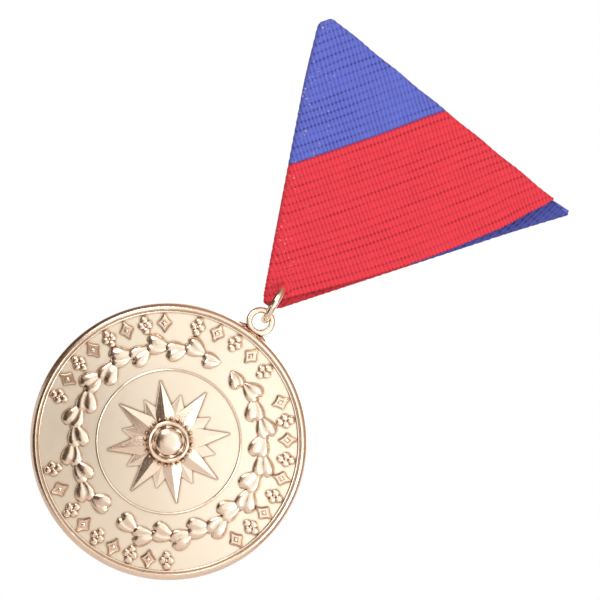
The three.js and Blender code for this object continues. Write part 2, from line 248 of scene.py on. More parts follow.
def stageSheet(name, look, place, turn, roughness):
    bm = bmesh.new()
    bmesh.ops.create_grid(bm, x_segments=1, y_segments=1, size=look["size"] / 2 * mm)
    bmesh.ops.rotate(bm, cent=(0, 0, 0), matrix=turn, verts=bm.verts)
    bmesh.ops.translate(bm, vec=place * mm, verts=bm.verts)
    sheet = addObject(name, meshFrom(bm, name))
    sheet.data.materials.append(newMaterial(name, look["colour"], roughness)[0])
    return sheet


def buildFloor():
    look = surroundings["floor"]
    place = Vector((0, 0, discMiddle.z - discRadius - look["drop"]))
    stageSheet("pale floor", look, place, Matrix.Identity(3), 0.8)


def buildCard():
    look = surroundings["card"]
    place = Vector(look["place"])
    turn = place.to_track_quat("Z", "Y").to_matrix()
    card = stageSheet("dark card", look, discMiddle + place, turn, 0.9)
    card.visible_camera = False


buildWorld()
for lightName in ("key", "left", "right", "back"):
    areaLight(lightName)
buildFloor()
buildCard()
bpy.context.scene.view_settings.view_transform = "Standard"
print("camera, lights and floor placed")


# Gilt metal: satin struck field, polished relief, drawn wire

gilt = {
    "satin": {"pale": (0.97, 0.885, 0.725), "roughness": 0.42, "grain": 1.0, "scratches": 0.3},
    "polished": {"pale": (0.94, 0.80, 0.64), "roughness": 0.25, "grain": 0.12, "scratches": 0.3},
    "wire": {"pale": (0.97, 0.885, 0.725), "roughness": 0.17, "grain": 0.05, "scratches": 0.25},
    "warm": (0.96, 0.85, 0.69),
    "warmth": (0.35, 0.75),
    # Patina and painted shade: the dark brown that the hollows and the relief's foot darken to
    "patinaAndShade": (0.34, 0.17, 0.09),
    "patinaAndShadeReach": 0.0005,
    "patinaAndShadeRange": (0.5, 0.97),
    "wear": (0.3, 0.8),
    "smoothest": 0.8,  # times the roughness, where it is worn least and most
    "roughest": 1.3,
    "dish": 95.0,  # radius in millimetres of the field's very slight doming
    "bumpDepth": 0.00002,
    "toneSize": 0.006,
    "grainSize": 0.00013,
    "scratchSize": 0.0006,
}


def giltMaterial(name, kind, domed=True):
    look = gilt[kind]
    roughness = look["roughness"]
    material, make, shader = newMaterial(name, look["pale"], roughness, 1.0)
    place = make.onObject()
    warmer = make.spread(make.noise(place, gilt["toneSize"], 4.0), *gilt["warmth"])
    colour = make.mix(warmer, (*look["pale"], 1), (*gilt["warm"], 1))
    # Patina and painted shade: ambient occlusion darkens the hollows and the foot of the relief
    # towards the dark brown, partly oxide left in the hollows and partly painted shade
    hollow = make.add("AmbientOcclusion", samples=8)
    hollow.inputs["Distance"].default_value = gilt["patinaAndShadeReach"]
    wearAndHollowShade = make.spread(hollow.outputs["AO"], *gilt["patinaAndShadeRange"])
    colour = make.mix(wearAndHollowShade, (*gilt["patinaAndShade"], 1), colour)
    wear = make.noise(place, gilt["scratchSize"], 5.0, 0.7)
    ends = (roughness * gilt["smoothest"], roughness * gilt["roughest"])
    make.join(make.spread(wear, *gilt["wear"], *ends), shader.inputs["Roughness"])
    fine = make.times(make.noise(place, gilt["grainSize"], 2.0, 0.6), look["grain"])
    height = make.timesPlus(wear, look["scratches"], fine)
    if domed:
        away = make.add("VectorMath", operation="DISTANCE")
        make.join(place, away.inputs[0])
        away.inputs[1].default_value = discMiddle * mm
        square = make.math("POWER", away.outputs["Value"], 2.0)
        fall = 1 / (2 * gilt["dish"] * mm * gilt["bumpDepth"])
        height = make.timesPlus(square, -fall, height)
    make.surface(shader, colour, height, 1.0, gilt["bumpDepth"])
    return material


giltSatin = giltMaterial("gilt satin field", "satin")
giltPolished = giltMaterial("gilt polished relief", "polished")
giltWire = giltMaterial("gilt drawn wire", "wire", domed=False)


# Finishing a piece: millimetres to metres, place in the mesh, material and body

def finish(bm, name, materials, body):
    bmesh.ops.scale(bm, vec=(mm, mm, mm), verts=bm.verts)
    mesh = meshFrom(bm, name)
    for material in materials:
        mesh.materials.append(material)
    mesh.shade_smooth()
    piece = addObject(name, mesh)
    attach(piece, body)
    return piece


def sharpen(bm, angle):
    for edge in bm.edges:
        if len(edge.link_faces) == 2 and edge.calc_face_angle(0) > math.radians(angle):
            edge.smooth = False


# Shapes shared by the pieces. Relief is drawn flat, x to the right, y up the medal, z out of it

fieldDepth = 0.45  # rim land down to the field
halfThickness = (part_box("medal_disc")[1].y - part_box("medal_disc")[0].y) / 2 / mm
fieldLevel = halfThickness - fieldDepth
reliefFoot = fieldLevel - 0.05  # relief starts a little inside the field
doubleSpan = 0.0005  # mm, closer vertices are one
domeRoundness = 1.7


def turned(bm, points, axis, angle):
    turn = Matrix.Rotation(math.radians(angle), 3, axis)
    bmesh.ops.rotate(bm, cent=(0, 0, 0), matrix=turn, verts=points)


def moved(bm, points, way):
    bmesh.ops.translate(bm, vec=way, verts=points)


def arcPoints(centre, radius, start, end, count):
    angles = [math.radians(start + (end - start) * i / (count - 1)) for i in range(count)]
    return [(centre[0] + radius * math.cos(a), centre[1] + radius * math.sin(a)) for a in angles]


def evenly(line, count):
    points = [Vector(point) for point in line]
    lengths = [0]
    for first, second in zip(points, points[1:]):
        lengths.append(lengths[-1] + (second - first).length)
    spaced = []
    k = 0
    for i in range(count):
        want = lengths[-1] * i / (count - 1)
        while k < len(points) - 2 and lengths[k + 1] < want:
            k += 1
        share = (want - lengths[k]) / max(lengths[k + 1] - lengths[k], 1e-9)
        spaced.append(points[k].lerp(points[k + 1], min(share, 1)))
    return spaced


def circlePoints(centre, radius, count):
    return arcPoints(centre, radius, 0, 360 - 360 / count, count)


def roundedOutline(width, height, radius, steps=6):
    outline = []
    for i, (sx, sy) in enumerate(((1, 1), (-1, 1), (-1, -1), (1, -1))):
        corner = (sx * (width / 2 - radius), sy * (height / 2 - radius))
        outline += arcPoints(corner, radius, 90 * i, 90 * i + 90, steps)
    return outline


def rounded(bm, edges, offset, segments):
    bmesh.ops.bevel(
        bm, geom=edges, offset=offset, segments=segments, profile=0.5, affect="EDGES",
        material=-1, clamp_overlap=True,
    )


# A profile of x and z turned into a solid round z, with its doubles merged
def spun(bm, profile, steps, looped=False):
    before = set(bm.verts)
    verts = [bm.verts.new((r, 0, z)) for r, z in profile]
    after = verts[1:] + verts[:1] if looped else verts[1:]
    edges = [bm.edges.new(pair) for pair in zip(verts, after)]
    bmesh.ops.spin(
        bm, geom=verts + edges, cent=(0, 0, 0), axis=(0, 0, 1), dvec=(0, 0, 0),
        angle=2 * math.pi, steps=steps, use_merge=True,
    )
    made = [vert for vert in bm.verts if vert not in before]
    bmesh.ops.remove_doubles(bm, verts=made, dist=doubleSpan)
    return [vert for vert in bm.verts if vert not in before]


# A closed plate: outline and holes in x and y, from low to high, with its edges rounded
def plate(bm, outline, low, high, rounding=0.0, holes=(), segments=3, both=False):
    before = set(bm.verts)
    edges = []
    for loop in (outline, *holes):
        verts = [bm.verts.new((point[0], point[1], low)) for point in loop]
        for first, second in zip(verts, verts[1:] + verts[:1]):
            edges.append(bm.edges.new((first, second)))
    filled = bmesh.ops.triangle_fill(bm, edges=edges, use_beauty=True, normal=(0, 0, 1))["geom"]
    faces = [item for item in filled if isinstance(item, bmesh.types.BMFace)]
    grown = bmesh.ops.extrude_face_region(bm, geom=faces, use_keep_orig=True)["geom"]
    top = [item for item in grown if isinstance(item, bmesh.types.BMVert)]
    moved(bm, top, (0, 0, high - low))
    made = [vert for vert in bm.verts if vert not in before]
    madeFaces = {face for vert in made for face in vert.link_faces}
    bmesh.ops.recalc_face_normals(bm, faces=list(madeFaces))
    if rounding:
        rims = []
        for edge in {edge for face in madeFaces for edge in face.edges}:
            level = sum(vert.co.z for vert in edge.verts) / 2
            onRim = abs(level - high) < 1e-5 or (both and abs(level - low) < 1e-5)
            if onRim and edge.is_manifold and edge.calc_face_angle() > 1:
                rims.append(edge)
        rounded(bm, rims, rounding, segments)
    return [vert for vert in bm.verts if vert not in before]


# A closed dome over an outline: swell is how square its shoulder is
def dome(bm, outline, centre, low, high, swell, rings):
    count = len(outline)
    profile = [(math.sin(math.pi / 2 * i / rings), high) for i in range(rings + 1)]
    made = spun(bm, profile + [(0, low)], count)
    for vert in made:
        share = vert.co.xy.length
        step = round(math.atan2(vert.co.y, vert.co.x) / (2 * math.pi / count)) % count
        spot = Vector(centre).lerp(Vector(outline[step][:2]), share)
        lift = max(0.0, 1 - share ** swell) ** (1 / domeRoundness)
        level = low if vert.co.z < low + 1e-4 else low + (high - low) * lift
        vert.co = (spot.x, spot.y, level)
    return made


# A closed tube along a path, with its ends capped or joined into a loop
def tube(bm, path, radii, sides, closed=False):
    points = [Vector(point).to_3d() for point in path]
    count = len(points)
    rings = []
    normal = None
    for i, point in enumerate(points):
        if closed:
            ahead = (points[(i + 1) % count] - points[i - 1]).normalized()
        else:
            ahead = (points[min(i + 1, count - 1)] - points[max(i - 1, 0)]).normalized()
        if normal is None:
            normal = ahead.orthogonal().normalized()
        normal = (normal - ahead * normal.dot(ahead)).normalized()
        across = ahead.cross(normal)
        frameOf = Matrix((normal, across, ahead)).transposed().to_4x4()
        radius = radii[i] if hasattr(radii, "__len__") else radii
        capped = not closed and i in (0, count - 1)
        ring = bmesh.ops.create_circle(
            bm, cap_ends=capped, segments=sides, radius=radius,
            matrix=Matrix.Translation(point) @ frameOf,
        )["verts"]
        rings.append(ring)
    loops = []
    for ring in rings:
        members = set(ring)
        loops.append([e for e in {e for v in ring for e in v.link_edges}
                      if e.verts[0] in members and e.verts[1] in members])
    pairs = list(zip(loops, loops[1:]))
    if closed:
        pairs.append((loops[-1], loops[0]))
    for first, second in pairs:
        bmesh.ops.bridge_loops(bm, edges=first + second)
    return [vert for ring in rings for vert in ring]


def strike(bm, side="front"):
    bmesh.ops.recalc_face_normals(bm, faces=bm.faces)
    turned(bm, bm.verts, "X", 90)
    if side == "back":
        turned(bm, bm.verts, "Z", 180)
    moved(bm, bm.verts, discMiddle)


def polar(radius, angle):
    return Vector((radius * math.cos(math.radians(angle)), radius * math.sin(math.radians(angle))))


# The struck disc

discMake = {
    "edgeRound": 0.72,
    "landInner": 19.22,
    "grooveOuter": 19.14,
    "grooveInner": 18.92,
    "grooveLevel": 0.3,  # below the land
    "lip": 0.05,  # softening of the groove's two edges
    "slope": 0.09,
    "sag": 0.02,
    "beadRadius": 18.78,
    "beadHeight": 0.2,  # out of the field
    "beadFall": 0.03,
    "fieldEdge": 18.52,
    "fieldEase": 0.06,
    "fieldRings": (12, 5, 0),
    "steps": 192,
}


def discProfile():
    make = discMake
    edge = make["edgeRound"]
    outer = arcPoints((discRadius - edge, halfThickness - edge), edge, 0, 90, 8)
    bead = fieldLevel + make["beadHeight"]
    floor = halfThickness - make["grooveLevel"]
    inner = [
        (make["landInner"], halfThickness),
        (make["grooveOuter"], halfThickness - make["lip"]),
        (make["grooveOuter"] - make["slope"], floor),
        (make["grooveInner"] + make["lip"], floor - make["sag"]),
        (make["beadRadius"] + make["slope"], bead - make["sag"]),
        (make["beadRadius"], bead),
        (make["beadRadius"] - make["slope"], bead - make["beadFall"]),
        (make["fieldEdge"] + make["fieldEase"], fieldLevel + make["sag"]),
        (make["fieldEdge"] - make["fieldEase"], fieldLevel),
    ]
    half = outer + inner + [(radius, fieldLevel) for radius in make["fieldRings"]]
    return [(r, -z) for r, z in reversed(half)] + half[1:]


def buildDisc():
    bm = bmesh.new()
    spun(bm, discProfile(), discMake["steps"])
    for face in bm.faces:
        satin = face.calc_center_median().xy.length < discMake["fieldEdge"] + 0.05
        face.material_index = 0 if satin else 1
    strike(bm)
    sharpen(bm, 40)
    disc = finish(bm, "struck_disc", [giltSatin, giltPolished], "medal")
    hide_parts("medal_disc")


buildDisc()
print("disc struck")


# Laurel wreath: plump two-lobed leaves, each tucked under the next one's foot

wreathMake = {
    "radius": 13.65,
    "stagger": 0.42,
    "leaves": 15,
    "topGap": 9.5,  # degrees from the vertical
    "footGap": 11.5,
    "length": 3.75,
    "width": 3.2,
    "height": 0.58,
    "skew": 17,  # degrees, one way and the other
    "veinWidth": 0.1,
    "veinDepth": 0.5,
    "veinBow": 0.16,
    "girth": (0.42, 0.9, 0.4412),  # how foot and tip narrow, and what makes the widest 1
    "crown": (0.18, 0.5, 0.6),  # where the foot and the tip begin to fall, and how roundly
    "lobe": (0.74, 0.26, 0.45),  # height at the vein, what is added, and where it is full
    "notch": (0.11, 0.35),  # depth and width of the dent in the leaf's foot
    "sink": 0.03,
    "firstSize": 0.78,
    "sizes": (0.9, 0.14),  # least, and how much more half way down
}


def leaf(bm, size):
    make = wreathMake
    atFoot, atTip, widest = make["girth"]
    rise, fall, softness = make["crown"]
    base, more, full = make["lobe"]
    depth, reach = make["notch"]
    made = bmesh.ops.create_uvsphere(bm, u_segments=28, v_segments=14, radius=1)["verts"]
    turned(bm, made, "Y", 90)
    for vert in made:
        x, y, z = vert.co
        along = (x + 1) / 2
        ring = math.sqrt(max(1 - x * x, 1e-9))
        share = max(-1.0, min(1.0, y / ring))
        lift = z / ring
        girth = max(along, 0.0) ** atFoot * max(1 - along, 0.0) ** atTip / widest
        crown = (min(1.0, along / rise) * min(1.0, (1 - along) / fall)) ** softness
        bow = make["veinBow"] * math.sin(math.pi * along)
        vein = math.exp(-((share - bow) / make["veinWidth"]) ** 2)
        lobe = base + more * min(1.0, abs(share - bow) / full)
        lobe *= 1 - make["veinDepth"] * vein
        foot = depth * math.exp(-(share / reach) ** 2) * max(0.0, reach - along) / reach
        vert.co = (
            make["length"] * size * (along - 0.5 + foot),
            make["width"] / 2 * size * share * girth,
            make["height"] * lift * crown * lobe,
        )
    return made


def wreathLeaf(bm, fromTop, side, index, size, radius=wreathMake["radius"]):
    make = wreathMake
    way = 1 if index % 2 else -1
    made = leaf(bm, size)
    if way * side < 0:
        for vert in made:
            vert.co.y = -vert.co.y
    turned(bm, made, "Z", 90 - side * fromTop + side * 90 + side * way * make["skew"])
    spot = polar(radius + way * make["stagger"], 90 - side * fromTop)
    moved(bm, made, (spot.x, spot.y, fieldLevel - make["sink"]))


def buildWreath():
    make = wreathMake
    bm = bmesh.new()
    step = (180 - make["topGap"] - make["footGap"]) / (make["leaves"] - 1)
    least, more = make["sizes"]
    for i in range(make["leaves"]):
        size = least + more * math.sin(math.pi * i / make["leaves"]) if i else make["firstSize"]
        for side in (-1, 1):
            wreathLeaf(bm, make["topGap"] + step * i, side, i, size)
    strike(bm)
    finish(bm, "wreath_relief", [giltPolished], "medal")


buildWreath()
print("wreath raised")


# Border of small flowers and lozenges between the wreath and the rim

borderMake = {
    "radius": 17.15,
    "reach": 1.4,  # half the height of one ornament
    "halfWidth": 1.12,
    "height": 0.5,
    "draft": 0.2,  # width of the sloping edge all round
    "petal": 0.62,
    "petalDrop": 0.08,
    "eye": (0.36, 0.06),  # radius, and how far it stands over the petals' height
    "tipStretch": 1.3,
    "hollow": (0.93, 0.86),  # how far the lozenge's sides curve in, quarter way and half way
    "inner": (0.42, 0.12),  # how much smaller its raised middle is, and how much higher
    "runs": [  # first angle, step and count, in degrees from the medal's right
        (195, -9.36, 8),
        (113.2, -9.85, 5),
        (56.9, -9.35, 9),
        (230.7, 10.4, 2),
        (252.7, 8.97, 7),
    ],
}


def flower(bm, high):
    make = borderMake
    made = []
    for petal in range(4):
        reach = make["reach"] if petal % 2 else make["halfWidth"]
        centre = polar(reach - make["petal"], petal * 90)
        circle = circlePoints(centre, make["petal"], 24)
        made += dome(bm, circle, centre, reliefFoot, high - make["petalDrop"], 3.5, 6)
    radius, rise = make["eye"]
    eye = circlePoints((0, 0), radius, 12)
    return made + dome(bm, eye, (0, 0), reliefFoot, high + rise, 2, 5)


def lozengeOutline(shrink=0.0):
    make = borderMake
    corners = [
        (make["halfWidth"] - shrink, 0), (0, make["reach"] - shrink * make["tipStretch"]),
        (shrink - make["halfWidth"], 0), (0, shrink * make["tipStretch"] - make["reach"]),
    ]
    quarter, half = make["hollow"]
    outline = []
    for first, second in zip(corners, corners[1:] + corners[:1]):
        a = Vector(first)
        b = Vector(second)
        centre = (a + b) / 2
        outline += [a, a.lerp(centre, 0.5) * quarter, centre * half, b.lerp(centre, 0.5) * quarter]
    return outline


def borderPiece(bm, angle, kind):
    make = borderMake
    high = fieldLevel + make["height"]
    if kind == "flower":
        made = flower(bm, high)
    else:
        shrink, rise = make["inner"]
        top = high - make["petalDrop"]
        made = plate(bm, lozengeOutline(), reliefFoot, top, make["draft"], segments=1)
        made += dome(bm, lozengeOutline(shrink), (0, 0), reliefFoot, high + rise, 2, 5)
    turned(bm, made, "Z", angle - 90)
    spot = polar(make["radius"], angle)
    moved(bm, made, (spot.x, spot.y, 0))


def buildBorder():
    bm = bmesh.new()
    placed = 0
    for start, step, count in borderMake["runs"]:
        for i in range(count):
            borderPiece(bm, start + step * i, "flower" if placed % 2 == 0 else "lozenge")
            placed += 1
    strike(bm)
    sharpen(bm, 30)
    finish(bm, "border_relief", [giltPolished], "medal")


buildBorder()
print("border raised")


def fineCircle(bm, radius, wire):
    circle = circlePoints((0, 0), radius, 144)
    tube(bm, [(x, y, fieldLevel) for x, y in circle], wire, 8, closed=True)


# A faceted star in the middle, its long rays over short ones, round a domed boss

starMake = {
    "points": 8,
    "rays": [  # reach, notch radius, first point's angle, height of the base and of the peak
        (7.0, 4.2, 22.5, 0.18, 0.62),
        (9.0, 4.0, 0.0, 0.3, 1.0),
    ],
    "ring": (2.75, 0.3, 0.9),  # radius, wire and height
    "boss": (2.4, 1.35),  # radius and height
    "beads": (24, 3.4, 0.3, 1.1),  # count, radius of their circle, their own, and height
    "circle": (10.4, 0.16),
    "overlap": 0.02,  # of the faceted peak into its base
}


def star(bm, reach, notch, start, base, peak):
    count = starMake["points"] * 2
    outline = [polar(notch if i % 2 else reach, start + 360 * i / count) for i in range(count)]
    plate(bm, outline, reliefFoot, fieldLevel + base)
    overlap = starMake["overlap"]
    height = peak - base + overlap
    cone = bmesh.ops.create_cone(
        bm, cap_ends=True, segments=count, radius1=reach, radius2=0, depth=height)["verts"]
    for vert in cone:
        if vert.co.xy.length > reach / 2:
            step = round(math.degrees(math.atan2(vert.co.y, vert.co.x)) * count / 360)
            spot = outline[step % count]
            vert.co.x = spot.x
            vert.co.y = spot.y
    moved(bm, cone, (0, 0, fieldLevel + base - overlap + height / 2))


def buildStar():
    make = starMake
    bm = bmesh.new()
    for ray in make["rays"]:
        star(bm, *ray)
    radius, wire, height = make["ring"]
    ring = arcPoints((0, 0), radius, 0, 357.5, 96)
    tube(bm, [(x, y, fieldLevel + height) for x, y in ring], wire, 12, closed=True)
    radius, height = make["boss"]
    boss = circlePoints((0, 0), radius, 72)
    dome(bm, boss, (0, 0), reliefFoot, fieldLevel + height, 3.0, 12)
    count, radius, size, height = make["beads"]
    for i in range(count):
        spot = polar(radius, 360 * i / count)
        dome(bm, circlePoints(spot, size, 12), spot, reliefFoot, fieldLevel + height, 3, 5)
    fineCircle(bm, *make["circle"])
    strike(bm)
    sharpen(bm, 12)
    finish(bm, "star_relief", [giltPolished], "medal")


buildStar()
print("star raised")


# Reverse: a blank tablet for engraving over two short sprays, inside a fine circle

reverseMake = {
    "circle": (16.6, 0.22),  # radius and wire
    "tablet": (17.0, 6.4, 1.1),  # width, height and corner
    "tabletEdge": (1.5, 0.6, 0.14),  # both sides together, corner inside, rounding
    "tabletRise": (0.3, 0.12),  # of its edge and of its floor
    "tabletUp": 1.2,
    "leafShrink": 0.04,
    "dots": (70, 90, 110),  # degrees
    "dot": (12.0, 0.75, 0.42),  # distance out, radius and height
    "sprayRadius": 11.6,
    "sprayLeaves": 7,
    "sprayStep": 12.5,
    "sprayFoot": 8,
}


def buildReverse():
    make = reverseMake
    bm = bmesh.new()
    fineCircle(bm, *make["circle"])
    width, height, corner = make["tablet"]
    edge, cornerShare, rounding = make["tabletEdge"]
    edgeRise, floorRise = make["tabletRise"]
    outer = roundedOutline(width, height, corner)
    inner = roundedOutline(width - edge, height - edge, corner * cornerShare)
    made = plate(bm, outer, reliefFoot, fieldLevel + edgeRise, rounding, holes=[inner])
    made += plate(bm, inner, reliefFoot, fieldLevel + floorRise)
    moved(bm, made, (0, make["tabletUp"], 0))
    for i in range(make["sprayLeaves"]):
        fromFoot = make["sprayFoot"] + make["sprayStep"] * i
        size = 1.0 - make["leafShrink"] * i
        for side in (-1, 1):
            wreathLeaf(bm, 180 - fromFoot, side, i, size, make["sprayRadius"])
    out, radius, rise = make["dot"]
    for angle in make["dots"]:
        spot = polar(out, angle)
        dome(bm, circlePoints(spot, radius, 24), spot, reliefFoot, fieldLevel + rise, 2, 7)
    strike(bm, "back")
    sharpen(bm, 30)
    finish(bm, "reverse_relief", [giltPolished], "medal")


buildReverse()
print("reverse raised")


# Eyelet on the rim, with the solder that holds it

eyeletMake = {
    "hole": 1.2,
    "round": 0.34,
    "steps": 72,
    "fillet": (0.85, 0.52, 0.5),  # half-lengths of each bead of solder
    "filletAt": 1.75,
    "filletTurn": 9,  # degrees more than the rim's own slope
    "filletSink": 0.1,
}
eyeletLow, eyeletHigh = (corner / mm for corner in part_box("suspension_eyelet"))
eyeletOuter = (eyeletHigh.x - eyeletLow.x) / 2
eyeletHalf = (eyeletHigh.y - eyeletLow.y) / 2


def ringProfile(inner, outer, half, corner):
    centres = (
        ((outer - corner, half - corner), 0), ((inner + corner, half - corner), 90),
        ((inner + corner, corner - half), 180), ((outer - corner, corner - half), 270),
    )
    profile = []
    for centre, start in centres:
        profile += arcPoints(centre, corner, start, start + 90, 5)
    return profile


def buildEyelet():
    make = eyeletMake
    bm = bmesh.new()
    profile = ringProfile(make["hole"], eyeletOuter, eyeletHalf, make["round"])
    spun(bm, profile, make["steps"], looped=True)
    turned(bm, bm.verts, "X", 90)
    moved(bm, bm.verts, eyeletMiddle)
    for side in (-1, 1):
        solder = bmesh.ops.create_uvsphere(bm, u_segments=24, v_segments=14, radius=1)["verts"]
        bmesh.ops.scale(bm, vec=make["fillet"], verts=solder)
        lean = math.degrees(math.asin(make["filletAt"] / discRadius))
        turned(bm, solder, "Y", side * (lean + make["filletTurn"]))
        rise = discRadius * math.cos(math.radians(lean)) - make["filletSink"]
        spot = discMiddle + Vector((side * make["filletAt"], 0, rise))
        moved(bm, solder, spot)
    bmesh.ops.recalc_face_normals(bm, faces=bm.faces)
    eyelet = finish(bm, "soldered_eyelet", [giltPolished], "medal")
    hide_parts("suspension_eyelet")


buildEyelet()


# Split ring: round wire, its two cut ends just apart at the back

ringMake = {
    "lean": 7,  # degrees
    "gap": 3.2,
    "endRound": 0.06,
    "sharp": 60,  # degrees, an edge steeper than this is one of the cut ends'
    "steps": 96,
    "sides": 20,
}
ringLow, ringHigh = (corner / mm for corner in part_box("jump_ring"))
ringWire = ringHigh.x - ringLow.x
ringRadius = (ringHigh.z - ringLow.z - ringWire) / 2


def buildRing():
    make = ringMake
    bm = bmesh.new()
    profile = circlePoints((ringRadius, 0), ringWire / 2, make["sides"])
    verts = [bm.verts.new((r, 0, z)) for r, z in profile]
    face = bm.faces.new(verts)
    turned(bm, verts, "Z", make["gap"] / 2)
    bmesh.ops.spin(
        bm, geom=[face], cent=(0, 0, 0), axis=(0, 0, 1), dvec=(0, 0, 0),
        angle=math.radians(360 - make["gap"]), steps=make["steps"], use_merge=False,
    )
    openEdges = [edge for edge in bm.edges if edge.is_boundary]
    if openEdges:
        bmesh.ops.holes_fill(bm, edges=openEdges, sides=0)
    turned(bm, bm.verts, "Y", 90)
    turned(bm, bm.verts, "X", 180)
    bmesh.ops.recalc_face_normals(bm, faces=bm.faces)
    ends = [edge for edge in bm.edges if len(edge.link_faces) == 2
            and edge.calc_face_angle(0) > math.radians(make["sharp"])]
    rounded(bm, ends, make["endRound"], 2)
    turned(bm, bm.verts, "Y", -make["lean"])
    moved(bm, bm.verts, ringMiddle)
    ring = finish(bm, "split_ring_wire", [giltWire], "split_ring")
    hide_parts("jump_ring")


buildRing()
print("eyelet and ring made")


# Ribbon: one strip of ribbed silk, half blue and half red, folded into a triangle.
# It is cut flat, u across from the blue selvage and v along, then folded in three places

ribbonMake = {
    "width": 36.0,
    "stripe": 56.0,  # degrees from level to the stripes on the front
    "redSelvage": -0.76,  # from the tip's middle line to the red selvage, square to the stripes
    "leftFold": {"foot": -1.55, "direction": 116.7},
    "rightFold": {"foot": 0.45, "direction": 55.7, "radius": 0.18},
    "topFold": {"height": 37.5, "radius": 0.38},
    "leftRadii": (0.18, 0.56),  # at the pressed tip and above it
    "spread": (4.5, 7.0),
    "hem": 8.0,
    "hemEnd": -1.4,  # inside the right fold
    "flatSpan": (-46.0, 58.0),  # of the cloth that the strip is cut from, along it
    "inset": 0.18,  # of the front ply's middle
    "rearCut": ((-15.0, 36.2), (23.8, 35.4)),
    "ply": 0.35,
    "rib": 0.56,
    "ribDepth": 0.6,
    "row": 1.06,  # from one cord of the weave to the next, across
    "lift": 3.7,  # of the rear ply along the right fold
    "liftAcross": (-6, 20),
    "bow": (1.4, 34, 1.3),  # of the front ply to the right: how far, over what height
    "bowBack": (1.2, 29, 38),
    "topRise": 0.9,  # the top fold climbs a little towards the blunt corner
    "topSlope": 0.03,
    "topStart": -17,
    "topZone": (28, 37),
    "ripple": (0.05, 0.83, 0.6),  # of the top fold: height, turn for each mm, and start
    "tipPress": (0.9, 0.65),
    "squeeze": (22.3, 0.55),
    "blunt": {"direction": 148, "start": 35.6, "share": 0.45},  # the pressed blunt corner
    "wave": 0.14,
    "waves": ((7, 3.1, 0.6), (2.6, 9.4, 0.25)),  # size, seed and share
    "calm": (3, 9),  # height over which the waves begin
    "flutter": 0.07,  # of the selvages
    "hole": {"x": -0.36, "height": 3.5, "start": 0.12, "radius": 0.54, "reach": 1.6},
}
stripe = math.radians(ribbonMake["stripe"])
alongStripe = Vector((math.cos(stripe), math.sin(stripe)))
acrossStripe = Vector((math.sin(stripe), -math.cos(stripe)))
clothFrontY = ribbonLow.y + ribbonMake["inset"]
tipZ = ribbonLow.z


def unit(degrees):
    return Vector((math.cos(math.radians(degrees)), math.sin(math.radians(degrees))))


def smoothly(value, low, high):
    share = min(1.0, max(0.0, (value - low) / (high - low)))
    return share * share * (3 - 2 * share)


def flatPoint(u, v):
    offset = ribbonMake["redSelvage"] - ribbonMake["width"] + u
    return acrossStripe * offset + alongStripe * v


def wrap(distance, radius):
    if distance <= 0:
        return distance, 0.0
    if distance < math.pi * radius:
        return radius * math.sin(distance / radius), radius * (1 - math.cos(distance / radius))
    return math.pi * radius - distance, 2 * radius


def foldOver(point, foot, outward, radius):
    distance = (point - foot).dot(outward) + radius
    wrapped, depth = wrap(distance, radius)
    return point + outward * (wrapped - distance), depth


leftFoot = Vector((ribbonMake["leftFold"]["foot"], 0))
leftOut = unit(ribbonMake["leftFold"]["direction"] + 90)
rightFoot = Vector((ribbonMake["rightFold"]["foot"], 0))
rightAlong = unit(ribbonMake["rightFold"]["direction"])
rightOut = unit(ribbonMake["rightFold"]["direction"] - 90)


def mirrored(point, foot, outward):
    return point - outward * 2 * (point - foot).dot(outward)


bluntWay = unit(ribbonMake["blunt"]["direction"])


def leftRadius(height):
    small, large = ribbonMake["leftRadii"]
    return small + (large - small) * smoothly(height, *ribbonMake["spread"])


def foldedPoint(u, v):
    make = ribbonMake
    point = flatPoint(u, v)
    top = make["topFold"]
    depth = 0.0
    if (point - leftFoot).dot(leftOut) > -make["leftRadii"][1]:
        seen = mirrored(point, leftFoot, leftOut) if (point - leftFoot).dot(leftOut) > 0 else point
        point, depth = foldOver(point, leftFoot, leftOut, leftRadius(seen.y))
        turnedPoint, more = foldOver(point, rightFoot, rightOut, make["rightFold"]["radius"])
        if depth > 0:
            point = turnedPoint
            depth += more
        rear = smoothly(point.x, *make["liftAcross"]) * (1 - u / make["width"]) ** 2
        if depth > 0:
            point = point + rightAlong * make["lift"] * rear
    else:
        point, depth = foldOver(point, Vector((0, top["height"])), Vector((0, 1)), top["radius"])
        out, span, power = make["bow"]
        back, low, high = make["bowBack"]
        bow = out * math.sin(math.pi * min(1, max(0, point.y) / span)) ** power
        bow -= back * smoothly(point.y, low, high)
        point = point + Vector((bow * (u / make["width"]) ** 4, 0))
        start, share = make["squeeze"]
        if point.x > start:
            point.x = start + (point.x - start) * share
    return point, depth


def shaped(point, depth):
    make = ribbonMake
    x, height = point
    slope = make["topRise"] - (x - make["topStart"]) * make["topSlope"]
    deep, pace, start = make["ripple"]
    ripple = deep * math.sin(x * pace + start)
    height += (slope + ripple) * smoothly(height, *make["topZone"])
    tip, press = make["tipPress"]
    if height < tip:
        height = tip + (height - tip) * press
    past = Vector((x, height)).dot(bluntWay) - make["blunt"]["start"]
    if past > 0:
        x -= bluntWay.x * past * make["blunt"]["share"]
        height -= bluntWay.y * past * make["blunt"]["share"]
    wave = 0.0
    for size, seed, share in make["waves"]:
        wave += noise.noise(Vector((x / size, height / size, seed))) * share
    push = -make["wave"] * (0.5 + wave) * smoothly(height, *make["calm"])
    return Vector((x, clothFrontY + depth + push, tipZ + height))


def pierced(bm):
    hole = ribbonMake["hole"]
    spot = Vector((hole["x"], tipZ + hole["height"]))
    start, reach = hole["start"], hole["reach"]
    gone = []
    for vert in bm.verts:
        away = Vector((vert.co.x, vert.co.z)) - spot
        distance = away.length
        if distance < start:
            gone.append(vert)
        elif distance < reach:
            share = (distance - start) / (reach - start)
            wanted = hole["radius"] + (reach - hole["radius"]) * share
            away *= wanted / distance
            vert.co.x = spot.x + away.x
            vert.co.z = spot.y + away.y
    bmesh.ops.delete(bm, geom=gone, context="VERTS")


